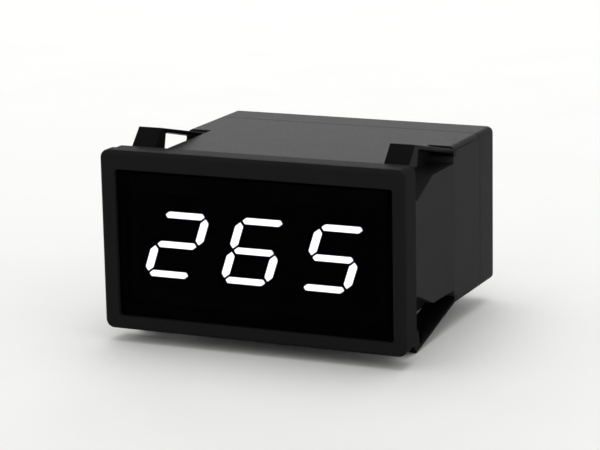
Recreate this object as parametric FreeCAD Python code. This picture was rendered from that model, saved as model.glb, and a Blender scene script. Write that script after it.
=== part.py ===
import FreeCAD, Part
import math
import os

# Frame of the part: X across the front, Y from the front towards the rear, Z up.
# The origin is the middle of the mounting face, the rear face of the front flange.

# Front frame and window
front_width = 96.0
front_height = 54.0
front_corner_round = 2.6
front_edge_chamfer = 1.1
frame_depth = 5.1
frame_wall = 2.0
window_width = 87.2
window_height = 44.0
window_shift = 0.7
window_drop = 0.7
window_round = 1.0
window_recess = 1.0
window_thickness = 1.8
window_play = 0.1
window_ledge = 1.9
ledge_thickness = 1.0
plug_thickness = 1.4
plug_length = 1.6
plug_root = 0.6

# Case
flange_depth = 5.3
flange_step = 0.5
body_width = 88.3
body_height = 48.4
body_corner_round = 1.9
body_depth = 74.2
cover_depth = 12.4
case_wall = 2.0
seat_thickness = 1.4
front_opening_width = 86.0
front_opening_height = 45.6

# Corner rebates and spring clips
clip_width = 8.0
clip_side_gap = 0.3
rebate_length = 39.0
rebate_depth = 5.0
pocket_depth = 9.9
pocket_length = 10.0
pocket_ramp = 12.0
clip_thickness = 1.3
clip_splay_deg = 13.0
clip_reach = 32.4
clip_bead_radius = 1.1
clip_bead_play = 0.05
clip_bead_drop = 2.0
wedge_drop = 4.0
wedge_advance = 5.1
wedge_thickness = 1.8
wedge_toe = 0.45
wedge_foot = 4.1
wedge_blend = 1.2

# Digits
digit_pitch = 24.8
digit_shift = 0.15
digit_drop = 0.6
bar_width = 1.9
upright_width = 2.5
segment_gap = 0.55
digit_half_width = 6.85
digit_half_height = 9.0
digit_slant = 0.33
segment_depth = 1.6
decimal_radius = 1.1
decimal_shift = 9.6
module_width = 24.4
module_height = 28.0
module_thickness = 4.0
module_to_window = 0.3
lead_width = 0.5
lead_pitch = 2.54
fit_gap = 0.1

# Boards and the header between them
board_thickness = 1.6
display_board_side_play = 0.5
display_board_top_play = 0.8
main_board_side_play = 0.75
main_board_lift = 0.8
main_board_start = 0.6
main_board_end_gap = 0.5
rail_reach = 1.6
rail_height = 1.5
rail_start = 2.0
rail_end_gap = 3.0
board_play = 0.1
header_pin_count = 16
header_height = 2.6
header_depth = 2.5
header_back = 4.6

# Rear cover and its screws
cover_plate = 2.5
cover_lip_length = 2.4
cover_lip_play = 0.15
cover_lip_thickness = 1.4
cover_lip_root = 4.0
lip_end_gap = 7.55
side_lip_low = -4.0
side_lip_high = 9.0
cover_edge_chamfer = 0.8
boss_radius = 3.7
boss_inset = 6.0
boss_sink = 0.2
screw_radius = 1.45
screw_play = 0.05
screw_hole_play = 0.3
screw_head_radius = 2.8
screw_head_height = 2.1
screw_length = 20.0
screw_hole_length = 22.0
recess_half = 1.5
recess_width = 0.8
recess_depth = 1.1
vent_count = 11
vent_width = 1.7
vent_pitch = 5.2
vent_to_block = 4.2
vent_to_top = 7.2

# Terminal block
terminal_pitch = 8.0
barrier_thickness = 1.6
trimmer_zone = 26.0
block_side_gap = 3.45
block_above_boss = 1.9
block_height = 14.4
block_inside = 6.5
block_outside = 7.4
block_flange = 1.0
block_flange_thickness = 1.8
bay_depth = 6.2
plate_width = 5.8
plate_height = 11.0
plate_thickness = 1.0
tail_width = 3.0
tail_thickness = 0.8
tail_reach = 14.0
clamp_side = 5.4
clamp_thickness = 0.8
terminal_head_radius = 2.6
terminal_head_height = 1.9
terminal_screw_length = 6.5
terminal_screw_gap = 0.5

# Calibration trimmers
zero_trimmer_inset = 17.25
span_trimmer_inset = 8.25
trimmer_side = 6.8
trimmer_depth = 5.0
trimmer_to_guide = 3.1
trimmer_chamfer = 0.4
trimmer_rotor_radius = 1.9
trimmer_rotor_play = 0.05
trimmer_rotor_depth = 1.7
trimmer_rotor_proud = 0.4
rotor_slot_width = 0.7
rotor_slot_depth = 0.8
guide_outer_radius = 2.9
guide_bore_radius = 1.7
guide_length = 8.4

# Parts that stand on the main board
chip_width = 6.4
chip_height = 3.4
chip_lift = 0.6
chip_row_half = 3.81
chip_shoulder = 1.2
chip_lead_count = 16
transistor_radius = 2.3
transistor_height = 4.6
transistor_lift = 2.5
transistor_flat = 1.3
transistor_lead_pitch = 1.3
film_length = 7.4
film_thickness = 4.4
film_height = 9.0
film_chamfer = 0.4
film_pitch = 5.0
resistor_radius = 1.2
resistor_length = 6.2
resistor_lead_half = 3.81
rectifier_radius = 4.0
rectifier_height = 5.2
rectifier_lift = 0.4
rectifier_lead_half = 2.0
regulator_width = 10.0
regulator_thickness = 3.4
regulator_height = 9.2
regulator_lift = 3.5
tab_height = 15.5
tab_thickness = 1.3
tab_hole_radius = 1.8
tab_hole_drop = 2.9
small_can_radius = 3.15
small_can_height = 11.0
reservoir_radius = 6.25
reservoir_headroom = 7.1
reservoir_lead_half = 2.5
transformer_width = 30.0
transformer_stack = 11.0
transformer_headroom = 5.9
transformer_lift = 1.2
transformer_depth = 20.0
bobbin_play = 0.1
bobbin_wall = 0.8
bobbin_foot = 3.8
winding_play = 0.1
winding_round = 2.2
winding_inset = 0.4
transformer_lead_x = 7.5
transformer_lead_y = 8.4
fuse_radius = 2.45
fuse_length = 20.0
fuse_cap_length = 4.75
fuse_cap_wall = 0.25
fuse_holder_play = 0.05
fuse_lift = 5.2
holder_width = 6.6
holder_length = 4.0
holder_height = 6.8
holder_mouth = 3.8
holder_lead_half = 2.0
row_end_gap = 0.25

# Places that follow from the sizes above
flange_width = front_width - 2 * flange_step
flange_height = front_height - 2 * flange_step
frame_front = -flange_depth - frame_depth
window_back = frame_front + window_recess + window_thickness
module_front = window_back + module_to_window
module_back = module_front + module_thickness
display_board_back = module_back + board_thickness
shell_end = body_depth - cover_depth
half_body_width = body_width / 2
half_body_height = body_height / 2
clip_inner = half_body_width - clip_width
clip_bead_y = rebate_length + clip_bead_radius
clip_bead_z = half_body_height - clip_bead_drop
rebate_block_z = half_body_height - pocket_depth - case_wall
rebate_block_x = clip_inner - case_wall
inside_top = half_body_height - case_wall
main_board_bottom = main_board_lift - rebate_block_z
main_board_top = main_board_bottom + board_thickness
main_board_half = half_body_width - case_wall - main_board_side_play
main_board_end = shell_end - main_board_end_gap
lead_below = main_board_lift - board_play
cover_inside = body_depth - cover_plate
boss_x = half_body_width - boss_inset
boss_z = half_body_height - boss_inset
terminal_count = int((body_width - 2 * case_wall - trimmer_zone - barrier_thickness) / terminal_pitch)
block_width = terminal_count * terminal_pitch + barrier_thickness
block_left = case_wall + block_side_gap - half_body_width
block_low = boss_radius + block_above_boss - boss_z
block_centre_x = block_left + block_width / 2
block_centre_z = block_low + block_height / 2
block_rear = body_depth + block_outside
bay_floor = block_rear - bay_depth
tail_start = cover_inside - tail_reach
vent_low = block_low + block_height + vent_to_block
vent_high = half_body_height - vent_to_top
trimmer_x = (half_body_width - zero_trimmer_inset, half_body_width - span_trimmer_inset)
trimmer_z = main_board_top + trimmer_side / 2
trimmer_end = cover_inside - guide_length - trimmer_to_guide
chip_length = chip_lead_count / 2 * lead_pitch
transformer_limb = transformer_width / 6


def spread(sizes, start, end):
    # the middles of pieces of these sizes, laid in a row with equal gaps
    gap = (end - start - sum(sizes)) / (len(sizes) + 1)
    middles = []
    edge = start
    for size in sizes:
        middles.append(edge + gap + size / 2)
        edge += gap + size
    return middles


# Three rows of parts on the main board, from the front to the rear
chip_row_depth = film_pitch + film_thickness
row_ys = spread((chip_row_depth, 2 * rectifier_radius, transformer_depth),
                main_board_start + header_back, tail_start)
chip_row_y, middle_row_y, rear_row_y = row_ys
row_half = main_board_half - rail_reach + main_board_side_play
chip_row_xs = spread((2 * transistor_radius,) * 3 + (chip_length, chip_length, film_length), -row_half, row_half)
middle_row_xs = spread((2 * resistor_lead_half + lead_width,) * 3 + (2 * rectifier_radius, regulator_width) +
                       (2 * small_can_radius,) * 2, -row_half, row_half)
rear_row_xs = spread((transformer_width, holder_width, 2 * reservoir_radius),
                     row_end_gap - rebate_block_x, rebate_block_x - row_end_gap)


def vec(x, y, z):
    return FreeCAD.Vector(x, y, z)


def box(x0, x1, y0, y1, z0, z1):
    return Part.makeBox(x1 - x0, y1 - y0, z1 - z0, vec(x0, y0, z0))


def centred_box(width, height, y0, y1):
    return box(-width / 2, width / 2, y0, y1, -height / 2, height / 2)


def upright(x, y, half_x, half_y, z0, z1):
    return box(x - half_x, x + half_x, y - half_y, y + half_y, z0, z1)


def square_rod_y(side, x, z, y0, y1):
    return box(x - side / 2, x + side / 2, y0, y1, z - side / 2, z + side / 2)


def rod_y(radius, x, z, y0, y1):
    return Part.makeCylinder(radius, y1 - y0, vec(x, y0, z), vec(0, 1, 0))


def rod_x(radius, y, z, x0, x1):
    return Part.makeCylinder(radius, x1 - x0, vec(x0, y, z), vec(1, 0, 0))


def rod_z(radius, x, y, z0, z1):
    return Part.makeCylinder(radius, z1 - z0, vec(x, y, z0), vec(0, 0, 1))


def rounded_block(width, height, radius, y0, y1, x=0.0, z=0.0):
    # a block with its four long edges rounded, running along Y
    block = box(x - width / 2, x + width / 2, y0, y1, z - height / 2, z + height / 2)
    edges = [e for e in block.Edges if abs(e.Vertexes[0].Y - e.Vertexes[1].Y) > 0.5 * (y1 - y0)]
    return block.makeFillet(radius, edges)


def edges_at_y(shape, y):
    return [e for e in shape.Edges if all(abs(v.Y - y) < 1e-4 for v in e.Vertexes)]


def prism_x(points, x0, x1):
    # extrudes a polygon given as (y, z) points along X
    corners = [vec(x0, y, z) for y, z in points]
    wire = Part.makePolygon(corners + [corners[0]])
    return Part.Face(wire).extrude(vec(x1 - x0, 0, 0))


def prism_y(points, y0, y1):
    # extrudes a polygon given as (x, z) points along Y
    corners = [vec(x, y0, z) for x, z in points]
    wire = Part.makePolygon(corners + [corners[0]])
    return Part.Face(wire).extrude(vec(0, y1 - y0, 0))


def joined(shapes):
    result = shapes[0]
    for shape in shapes[1:]:
        result = result.fuse(shape)
    return result.removeSplitter()


def mirrored(shape, side_x, side_z):
    # carries a shape made for the right top corner to another corner
    result = shape
    if side_x < 0:
        result = result.mirror(vec(0, 0, 0), vec(1, 0, 0))
    if side_z < 0:
        result = result.mirror(vec(0, 0, 0), vec(0, 0, 1))
    return result


def save(name, shapes):
    solids = []
    for shape in shapes:
        solids.extend(shape.Solids)
    result = solids[0] if len(solids) == 1 else Part.makeCompound(solids)
    result.exportStep(os.path.join("parts", name + ".step"))


# Front frame: holds the window from the front and plugs into the case
def front_frame():
    outer = rounded_block(front_width, front_height, front_corner_round, frame_front, -flange_depth)
    body = outer.makeChamfer(front_edge_chamfer, edges_at_y(outer, frame_front))
    plug_width = front_opening_width - 2 * fit_gap
    plug_height = front_opening_height - 2 * fit_gap
    plug_front = -flange_depth - plug_root
    body = body.fuse(centred_box(plug_width, plug_height, plug_front, -flange_depth + plug_length))
    pocket = rounded_block(window_width + 2 * window_play, window_height + 2 * window_play, window_round,
                           frame_front - 1, window_back, window_shift, -window_drop)
    body = body.cut(pocket)
    through_width = min(window_width - 2 * window_ledge, plug_width - 2 * plug_thickness)
    through_height = min(window_height - 2 * window_ledge, plug_height - 2 * plug_thickness) - window_drop
    body = body.cut(centred_box(through_width, through_height, window_back - 1, 1.0))
    groove_back = window_back + ledge_thickness
    groove = centred_box(front_width - 2 * frame_wall, front_height - 2 * frame_wall, groove_back, -flange_depth)
    core = centred_box(front_opening_width + 2 * plug_root, front_opening_height + 2 * plug_root,
                       groove_back - 1, -flange_depth + 1)
    return body.cut(groove.cut(core))


# Window: a smoked plate lying in the recess of the frame
def window_plate():
    return rounded_block(window_width, window_height, window_round, window_back - window_thickness,
                         window_back, window_shift, -window_drop)


# Digits: seven slanted segments in a moulded module that lies on the display board
def segment_outline(name, centre_x):
    across = name in "adg"
    half = (bar_width if across else upright_width) / 2
    height = {"a": 1.0, "d": -1.0, "g": 0.0, "b": 0.5, "c": -0.5, "f": 0.5, "e": -0.5}[name] * digit_half_height
    side = {"a": 0, "d": 0, "g": 0, "b": 1, "c": 1, "e": -1, "f": -1}[name] * digit_half_width
    reach = (digit_half_width if across else digit_half_height / 2) - segment_gap
    flat = reach - half
    shape = ((-reach, 0), (-flat, half), (flat, half), (reach, 0), (flat, -half), (-flat, -half))
    points = []
    for along, off in shape:
        u = side + (along if across else off)
        v = height + (off if across else along)
        points.append((centre_x + u + digit_slant * v, -digit_drop + v))
    return points


def segments(names, centre_x, grow=0.0):
    return [prism_y(segment_outline(n, centre_x), module_front - grow, module_front + segment_depth) for n in names]


def digit_centre(place):
    return digit_shift + (place - 1) * digit_pitch


def decimal_point(centre_x, start, end):
    # an eight-sided light pipe beside the foot of the digit
    turns = [math.pi / 8 + i * math.pi / 4 for i in range(8)]
    points = [(centre_x + decimal_shift + decimal_radius * math.cos(turn),
               decimal_radius * math.sin(turn) - digit_drop - digit_half_height) for turn in turns]
    return prism_y(points, start, end)


def digit_module(place):
    centre = digit_centre(place)
    block = box(centre - module_width / 2, centre + module_width / 2, module_front, module_back,
                -digit_drop - module_height / 2, -digit_drop + module_height / 2)
    for cutter in segments("abcdefg", centre, 1.0):
        block = block.cut(cutter)
    return block.cut(decimal_point(centre, module_front - 1, module_front + segment_depth))


def lit_segments(names, place):
    return segments(names, digit_centre(place))


def dark_segments(lit_names):
    result = []
    for place, lit in enumerate(lit_names):
        dark = [n for n in "abcdefg" if n not in lit]
        result.extend(segments(dark, digit_centre(place)))
        result.append(decimal_point(digit_centre(place), module_front, module_front + segment_depth))
    return result


# Display board: stands behind the digits on the seat of the case
def display_board():
    board = centred_box(front_opening_width - 2 * display_board_side_play,
                        front_opening_height - 2 * display_board_top_play, module_back, display_board_back)
    for x in header_places():
        board = board.cut(square_rod_y(lead_width + 2 * fit_gap, x, header_pin_z,
                                       module_back - 1, display_board_back + 1))
    return board


def header_places():
    return [(i - (header_pin_count - 1) / 2) * lead_pitch for i in range(header_pin_count)]


header_pin_z = main_board_top + header_height / 2
header_pin_end = main_board_start + header_back


def header_body():
    half = header_pin_count * lead_pitch / 2
    rear = header_pin_end - lead_width - 2 * board_play
    block = box(-half, half, rear - header_depth, rear, main_board_top, main_board_top + header_height)
    for x in header_places():
        block = block.cut(square_rod_y(lead_width, x, header_pin_z, rear - header_depth - 1, rear + 1))
    return block


def header_pins():
    result = []
    half = lead_width / 2
    for x in header_places():
        along = square_rod_y(lead_width, x, header_pin_z, module_back + fit_gap, header_pin_end)
        down = box(x - half, x + half, header_pin_end - lead_width, header_pin_end,
                   main_board_bottom - lead_below, header_pin_z + half)
        result.append(joined([along, down]))
    return result


# Case: flange, long box, four corner rebates, board rails and screw bosses
def rebate():
    top = half_body_height + 1
    floor = half_body_height - rebate_depth
    pocket = half_body_height - pocket_depth
    ramp_end = pocket_length + pocket_ramp
    points = ((0, top), (0, pocket), (pocket_length, pocket), (ramp_end, floor),
              (rebate_length, floor), (rebate_length, top))
    shape = prism_x(points, clip_inner, half_body_width + 1)
    socket = rod_x(clip_bead_radius + clip_bead_play, clip_bead_y, clip_bead_z, clip_inner, half_body_width + 1)
    throat = box(clip_inner, half_body_width + 1, rebate_length - 0.5, clip_bead_y,
                 clip_bead_z - 0.75 * clip_bead_radius, top)
    return shape.fuse(socket).fuse(throat)


def rebate_block():
    rear = clip_bead_y + clip_bead_radius + case_wall
    return box(rebate_block_x, half_body_width, -seat_thickness, rear, rebate_block_z, half_body_height)


def screw_post(y0, y1):
    # the square pillar in the right top corner that a cover screw runs through
    post = box(boss_x - boss_radius, half_body_width, y0, y1, boss_z - boss_radius, half_body_height)
    return post.common(rounded_block(body_width - 2 * boss_sink, body_height - 2 * boss_sink,
                                     body_corner_round - boss_sink, y0, y1))


def each_corner(shape):
    return [mirrored(shape, side_x, side_z) for side_x in (-1, 1) for side_z in (-1, 1)]


def case_shell():
    flange = rounded_block(flange_width, flange_height, front_corner_round - flange_step, -flange_depth, 0)
    box_outer = rounded_block(body_width, body_height, body_corner_round, -1, shell_end)
    shell = flange.fuse(box_outer)
    shell = shell.cut(centred_box(body_width - 2 * case_wall, body_height - 2 * case_wall,
                                  -flange_depth - 1, shell_end + 1))
    shell = shell.cut(centred_box(front_opening_width, front_opening_height, -flange_depth - 1, -seat_thickness))
    for block in each_corner(rebate_block()) + each_corner(screw_post(clip_bead_y, shell_end)):
        shell = shell.fuse(block.common(box_outer.fuse(flange)))
    inner = half_body_width - case_wall
    for side in (-1, 1):
        for low in (main_board_bottom - board_play - rail_height, main_board_top + board_play):
            edges = sorted((side * (inner - rail_reach), side * (inner + boss_sink)))
            shell = shell.fuse(box(edges[0], edges[1], rail_start, shell_end - rail_end_gap, low, low + rail_height))
    for cutter in each_corner(rebate()):
        shell = shell.cut(cutter)
    hole_start = body_depth - screw_hole_length
    for cutter in each_corner(rod_y(screw_radius + screw_play, boss_x, boss_z, hole_start, shell_end + 1)):
        shell = shell.cut(cutter)
    return shell.removeSplitter()


# Spring clip: an arm rooted at the rear, splayed outwards, with a wedge behind the flange
def spring_clip():
    tilt = math.radians(clip_splay_deg)
    rise = math.tan(tilt)
    lift = clip_thickness / math.cos(tilt)
    root_y = clip_bead_y
    root_top = clip_bead_z + clip_bead_radius * 0.96
    tip_y = root_y - clip_reach - clip_bead_radius
    tip_z = root_top + (root_y - tip_y) * rise
    foot_y = tip_y - wedge_advance
    foot_z = tip_z - wedge_drop
    toe = wedge_toe
    under_y = tip_y + wedge_thickness
    points = ((root_y, root_top), (tip_y, tip_z), (foot_y, foot_z), (foot_y + toe, foot_z - toe),
              (foot_y + toe + wedge_foot, foot_z - toe),
              (under_y, tip_z - lift - wedge_thickness * rise - toe),
              (under_y + wedge_blend, tip_z - lift - (wedge_thickness + wedge_blend) * rise),
              (root_y, root_top - lift))
    arm = prism_x(points, clip_inner + clip_side_gap, half_body_width)
    bead = rod_x(clip_bead_radius, clip_bead_y, clip_bead_z, clip_inner + clip_side_gap, half_body_width)
    return joined([arm, bead])


# Rear cover: a cap over the rear end, with vents, guides for the trimmers and the terminal opening
def cover_lips():
    lips = []
    inner_x = half_body_width - case_wall
    half = boss_x - boss_radius - lip_end_gap
    low, high = side_lip_low, side_lip_high
    steps = ((cover_lip_play, shell_end - cover_lip_length, shell_end),
             (-boss_sink, shell_end, shell_end + cover_lip_root))
    for side in (-1, 1):
        for gap, y0, y1 in steps:
            z = sorted((side * (inside_top - cover_lip_thickness), side * (inside_top - gap)))
            lips.append(box(-half, half, y0, y1, z[0], z[1]))
            x = sorted((side * (inner_x - cover_lip_thickness), side * (inner_x - gap)))
            lips.append(box(x[0], x[1], y0, y1, low, high))
    return lips


def block_shape(grow, y0, y1):
    half = block_width / 2 + grow
    tall = block_height / 2 + grow
    return box(block_centre_x - half, block_centre_x + half, y0, y1, block_centre_z - tall, block_centre_z + tall)


def rear_cover():
    cap = rounded_block(body_width, body_height, body_corner_round, shell_end, body_depth)
    cap = cap.makeChamfer(cover_edge_chamfer, edges_at_y(cap, body_depth))
    cap = cap.cut(centred_box(body_width - 2 * case_wall, body_height - 2 * case_wall, shell_end - 1, cover_inside))
    for piece in cover_lips() + each_corner(screw_post(shell_end, cover_inside + 1)):
        cap = cap.fuse(piece)
    for x in trimmer_x:
        cap = cap.fuse(rod_y(guide_outer_radius, x, trimmer_z, cover_inside - guide_length, cover_inside + 1))
        cap = cap.cut(rod_y(guide_bore_radius, x, trimmer_z, shell_end - 1, body_depth + 1))
    holes = each_corner(rod_y(screw_radius + screw_hole_play, boss_x, boss_z, shell_end - 1, body_depth + 1))
    holes.append(block_shape(fit_gap, shell_end, body_depth + 1))
    for i in range(vent_count):
        x = (i - (vent_count - 1) / 2) * vent_pitch
        holes.append(box(x - vent_width / 2, x + vent_width / 2, cover_inside - 1, body_depth + 1,
                         vent_low, vent_high))
    for hole in holes:
        cap = cap.cut(hole)
    return cap.removeSplitter()


def cross_screw(x, z, head_end, head_radius, head_height, length):
    # a screw driven towards the front, with a cross recess in its head
    head = rod_y(head_radius, x, z, head_end - head_height, head_end)
    for half_x, half_z in ((recess_half, recess_width / 2), (recess_width / 2, recess_half)):
        head = head.cut(box(x - half_x, x + half_x, head_end - recess_depth, head_end + 1, z - half_z, z + half_z))
    shank = rod_y(screw_radius, x, z, head_end - head_height - length, head_end - head_height)
    return joined([head, shank])


def cover_screws():
    return [cross_screw(side_x * boss_x, side_z * boss_z, body_depth + screw_head_height, screw_head_radius,
                        screw_head_height, screw_length) for side_x in (-1, 1) for side_z in (-1, 1)]


# Terminal block: a barrier strip through the cover, with plates, clamps and screws
def terminal_centres():
    return [block_centre_x + (i - (terminal_count - 1) / 2) * terminal_pitch for i in range(terminal_count)]


def terminal_block():
    block = block_shape(0, cover_inside - block_inside, block_rear)
    block = block.fuse(block_shape(block_flange, cover_inside - block_flange_thickness, cover_inside))
    half = (terminal_pitch - barrier_thickness) / 2
    screw_hole = 2 * (screw_radius + fit_gap)
    screw_end = bay_floor - terminal_screw_length
    tail = tail_width / 2 + fit_gap
    for x in terminal_centres():
        block = block.cut(box(x - half, x + half, bay_floor, block_rear + 1,
                              block_centre_z - block_height, block_centre_z + block_height))
        block = block.cut(square_rod_y(screw_hole, x, block_centre_z, screw_end, bay_floor + 1))
        block = block.cut(box(x - tail, x + tail, 0, bay_floor + 1,
                              main_board_top - fit_gap, main_board_top + tail_thickness + fit_gap))
    return block


def terminal_plates():
    hole = 2 * (screw_radius + fit_gap)
    result = []
    for x in terminal_centres():
        plate = box(x - plate_width / 2, x + plate_width / 2, bay_floor, bay_floor + plate_thickness,
                    block_centre_z - plate_height / 2, block_centre_z + plate_height / 2)
        tail = box(x - tail_width / 2, x + tail_width / 2, tail_start, bay_floor + plate_thickness / 2,
                   main_board_top, main_board_top + tail_thickness)
        plate = joined([plate, tail])
        result.append(plate.cut(square_rod_y(hole, x, block_centre_z, bay_floor - 1, bay_floor + 3)))
    return result


def clamp_plates():
    # square pressure plates, their hole hidden below the screw head
    start = bay_floor + plate_thickness
    end = start + clamp_thickness
    hole = 2 * (screw_radius + fit_gap)
    plates = []
    for x in terminal_centres():
        clamp = square_rod_y(clamp_side, x, block_centre_z, start, end)
        plates.append(clamp.cut(square_rod_y(hole, x, block_centre_z, start - 1, end + 1)))
    return plates


def terminal_screws():
    seat = bay_floor + plate_thickness + clamp_thickness
    length = terminal_screw_length + plate_thickness + clamp_thickness - terminal_screw_gap
    return [cross_screw(x, block_centre_z, seat + terminal_head_height, terminal_head_radius,
                        terminal_head_height, length) for x in terminal_centres()]


# Main board: where the leads of each part go through it
def chip_places():
    return [(x, chip_row_y) for x in chip_row_xs[3:5]]


def chip_lead_places(x, y):
    half = chip_lead_count // 2
    return [(x + (i - (half - 1) / 2) * lead_pitch, y + row * chip_row_half) for row in (-1, 1) for i in range(half)]


def transistor_places():
    return [(x, chip_row_y) for x in chip_row_xs[:3]]


def film_places():
    return [(chip_row_xs[5], chip_row_y + side * film_pitch / 2) for side in (-1, 1)]


def resistor_places():
    return [(x, middle_row_y) for x in middle_row_xs[:3]]


def small_can_places():
    return [(x, middle_row_y) for x in middle_row_xs[5:]]


rectifier_place = (middle_row_xs[3], middle_row_y)
regulator_place = (middle_row_xs[4], middle_row_y)
transformer_place = (rear_row_xs[0], rear_row_y)
fuse_place = (rear_row_xs[1], rear_row_y)
reservoir_place = (rear_row_xs[2], rear_row_y)


def pair(x, y, half):
    return [(x - half, y), (x + half, y)]


def square_of(x, y, half_x, half_y):
    return [(x + side * half_x, y + end * half_y) for side in (-1, 1) for end in (-1, 1)]


def transformer_lead_places():
    x, y = transformer_place
    return [(x + dx * transformer_lead_x, y + dy * transformer_lead_y) for dx in (-1, 0, 1) for dy in (-1, 1)]


def fuse_lead_places():
    x, y = fuse_place
    return square_of(x, y, holder_lead_half, fuse_length / 2 - holder_length / 2)


def all_lead_places():
    places = transformer_lead_places() + fuse_lead_places()
    places += pair(*reservoir_place, reservoir_lead_half)
    places += pair(*regulator_place, lead_pitch)
    places += square_of(*rectifier_place, rectifier_lead_half, rectifier_lead_half)
    places += [(header_x, header_pin_end - lead_width / 2) for header_x in header_places()]
    return places


def main_board():
    board = box(-main_board_half, main_board_half, main_board_start, main_board_end,
                main_board_bottom, main_board_top)
    half = lead_width / 2 + fit_gap
    for x, y in all_lead_places():
        board = board.cut(box(x - half, x + half, y - half, y + half, main_board_bottom - 1, main_board_top + 1))
    return board


def lead(x, y, top):
    # a lead through the board
    half = lead_width / 2
    return box(x - half, x + half, y - half, y + half, main_board_bottom - lead_below, top)


def foot(x, y, top):
    # a lead that ends on its pad on the board's face
    half = lead_width / 2
    return box(x - half, x + half, y - half, y + half, main_board_top, top)


# Parts that stand on the main board
def two_row_chip(x, y):
    base = main_board_top + chip_lift
    body = upright(x, y, chip_length / 2, chip_width / 2, base, base + chip_height)
    half = lead_width / 2
    middle = base + chip_height / 2
    pieces = [body]
    for px, py in chip_lead_places(x, y):
        inward = chip_shoulder if py < y else -chip_shoulder
        ends = sorted((py, py + inward))
        pieces.append(box(px - half, px + half, ends[0], ends[1], middle - lead_width, middle))
        pieces.append(foot(px, py, middle))
    return joined(pieces)


def transistors():
    result = []
    low = main_board_top + transistor_lift
    for x, y in transistor_places():
        body = rod_z(transistor_radius, x, y, low, low + transistor_height)
        body = body.cut(box(x - transistor_radius, x + transistor_radius, y - transistor_radius - 1,
                            y - transistor_flat, low - 1, low + transistor_height + 1))
        feet = [foot(x + i * transistor_lead_pitch, y, low + lead_width) for i in (-1, 0, 1)]
        result.append(joined([body] + feet))
    return result


def film_capacitors():
    result = []
    top = main_board_top + film_height
    for x, y in film_places():
        body = upright(x, y, film_length / 2, film_thickness / 2, main_board_top, top)
        edges = [e for e in body.Edges if all(v.Z > top - 0.01 for v in e.Vertexes)]
        result.append(body.makeChamfer(film_chamfer, edges))
    return result


def resistors():
    result = []
    z = main_board_top + resistor_radius
    half = resistor_lead_half
    for x, y in resistor_places():
        body = rod_x(resistor_radius, y, z, x - resistor_length / 2, x + resistor_length / 2)
        wires = []
        for side in (-1, 1):
            ends = sorted((x + side * (resistor_length / 2 - lead_width), x + side * (half + lead_width / 2)))
            wires.append(box(ends[0], ends[1], y - lead_width / 2, y + lead_width / 2,
                             z - lead_width / 2, z + lead_width / 2))
            wires.append(foot(x + side * half, y, z))
        result.append(joined([body] + wires))
    return result


def rectifier():
    x, y = rectifier_place
    low = main_board_top + rectifier_lift
    leads = [lead(px, py, low + lead_width) for px, py in square_of(x, y, rectifier_lead_half, rectifier_lead_half)]
    return joined([rod_z(rectifier_radius, x, y, low, low + rectifier_height)] + leads)


def regulator():
    x, y = regulator_place
    low = main_board_top + regulator_lift
    front = y - regulator_thickness / 2
    rear = y + regulator_thickness / 2
    half = regulator_width / 2
    body = box(x - half, x + half, front, rear, low, low + regulator_height)
    tab = box(x - half, x + half, rear - tab_thickness, rear, low, low + tab_height)
    tab = tab.cut(rod_y(tab_hole_radius, x, low + tab_height - tab_hole_drop, front, rear + 1))
    leads = [lead(px, y, low + lead_width) for px in (x - lead_pitch, x + lead_pitch)]
    return joined([body, tab] + leads)


def can_capacitor(x, y, radius, height):
    return rod_z(radius, x, y, main_board_top, main_board_top + height)


def reservoir_capacitor():
    x, y = reservoir_place
    can = can_capacitor(x, y, reservoir_radius, inside_top - reservoir_headroom - main_board_top)
    return joined([can] + [lead(px, py, main_board_top + lead_width) for px, py in pair(x, y, reservoir_lead_half)])


# Transformer: a steel core through a bobbin that carries the winding
core_low = main_board_top + transformer_lift
core_high = inside_top - transformer_headroom
window_low = core_low + transformer_limb
window_high = core_high - transformer_limb


def transformer_core():
    x, y = transformer_place
    core = upright(x, y, transformer_width / 2, transformer_stack / 2, core_low, core_high)
    slot = (transformer_width / 2 - 2 * transformer_limb) / 2
    for side in (-1, 1):
        middle = x + side * (transformer_limb + slot)
        core = core.cut(upright(middle, y, slot, transformer_stack, window_low, window_high))
    return core


def transformer_bobbin():
    x, y = transformer_place
    inner_x = transformer_limb + bobbin_play
    inner_y = transformer_stack / 2 + bobbin_play
    outer_x = transformer_width / 2 - transformer_limb - bobbin_play
    outer_y = transformer_depth / 2
    low = window_low + bobbin_play
    high = window_high - bobbin_play
    body = upright(x, y, inner_x + bobbin_wall, inner_y + bobbin_wall, low, high)
    for z in (low, high - bobbin_wall):
        body = body.fuse(upright(x, y, outer_x, outer_y, z, z + bobbin_wall))
    for side in (-1, 1):
        foot_y = y + side * (outer_y - bobbin_foot / 2)
        body = body.fuse(upright(x, foot_y, outer_x, bobbin_foot / 2, main_board_top, low + bobbin_play))
    return body.cut(upright(x, y, inner_x, inner_y, core_low, core_high)).removeSplitter()


def transformer_winding():
    x, y = transformer_place
    low = window_low + bobbin_play + bobbin_wall
    high = window_high - bobbin_play - bobbin_wall
    half_x = transformer_width / 2 - transformer_limb - winding_inset
    coil = upright(x, y, half_x, transformer_depth / 2 - winding_inset, low, high)
    coil = coil.makeFillet(winding_round, [e for e in coil.Edges if abs(e.Vertexes[0].Z - e.Vertexes[1].Z) > 1])
    return coil.cut(upright(x, y, transformer_limb + bobbin_play + bobbin_wall + winding_play,
                            transformer_stack / 2 + bobbin_play + bobbin_wall + winding_play, low - 1, high + 1))


def transformer_leads():
    return [lead(x, y, main_board_top) for x, y in transformer_lead_places()]


# Fuse: a glass tube along Y with two caps, held in two clips
fuse_z = main_board_top + fuse_lift


def fuse_tube():
    x, y = fuse_place
    half = fuse_length / 2 - fuse_cap_length
    return rod_y(fuse_radius, x, fuse_z, y - half, y + half)


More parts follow.
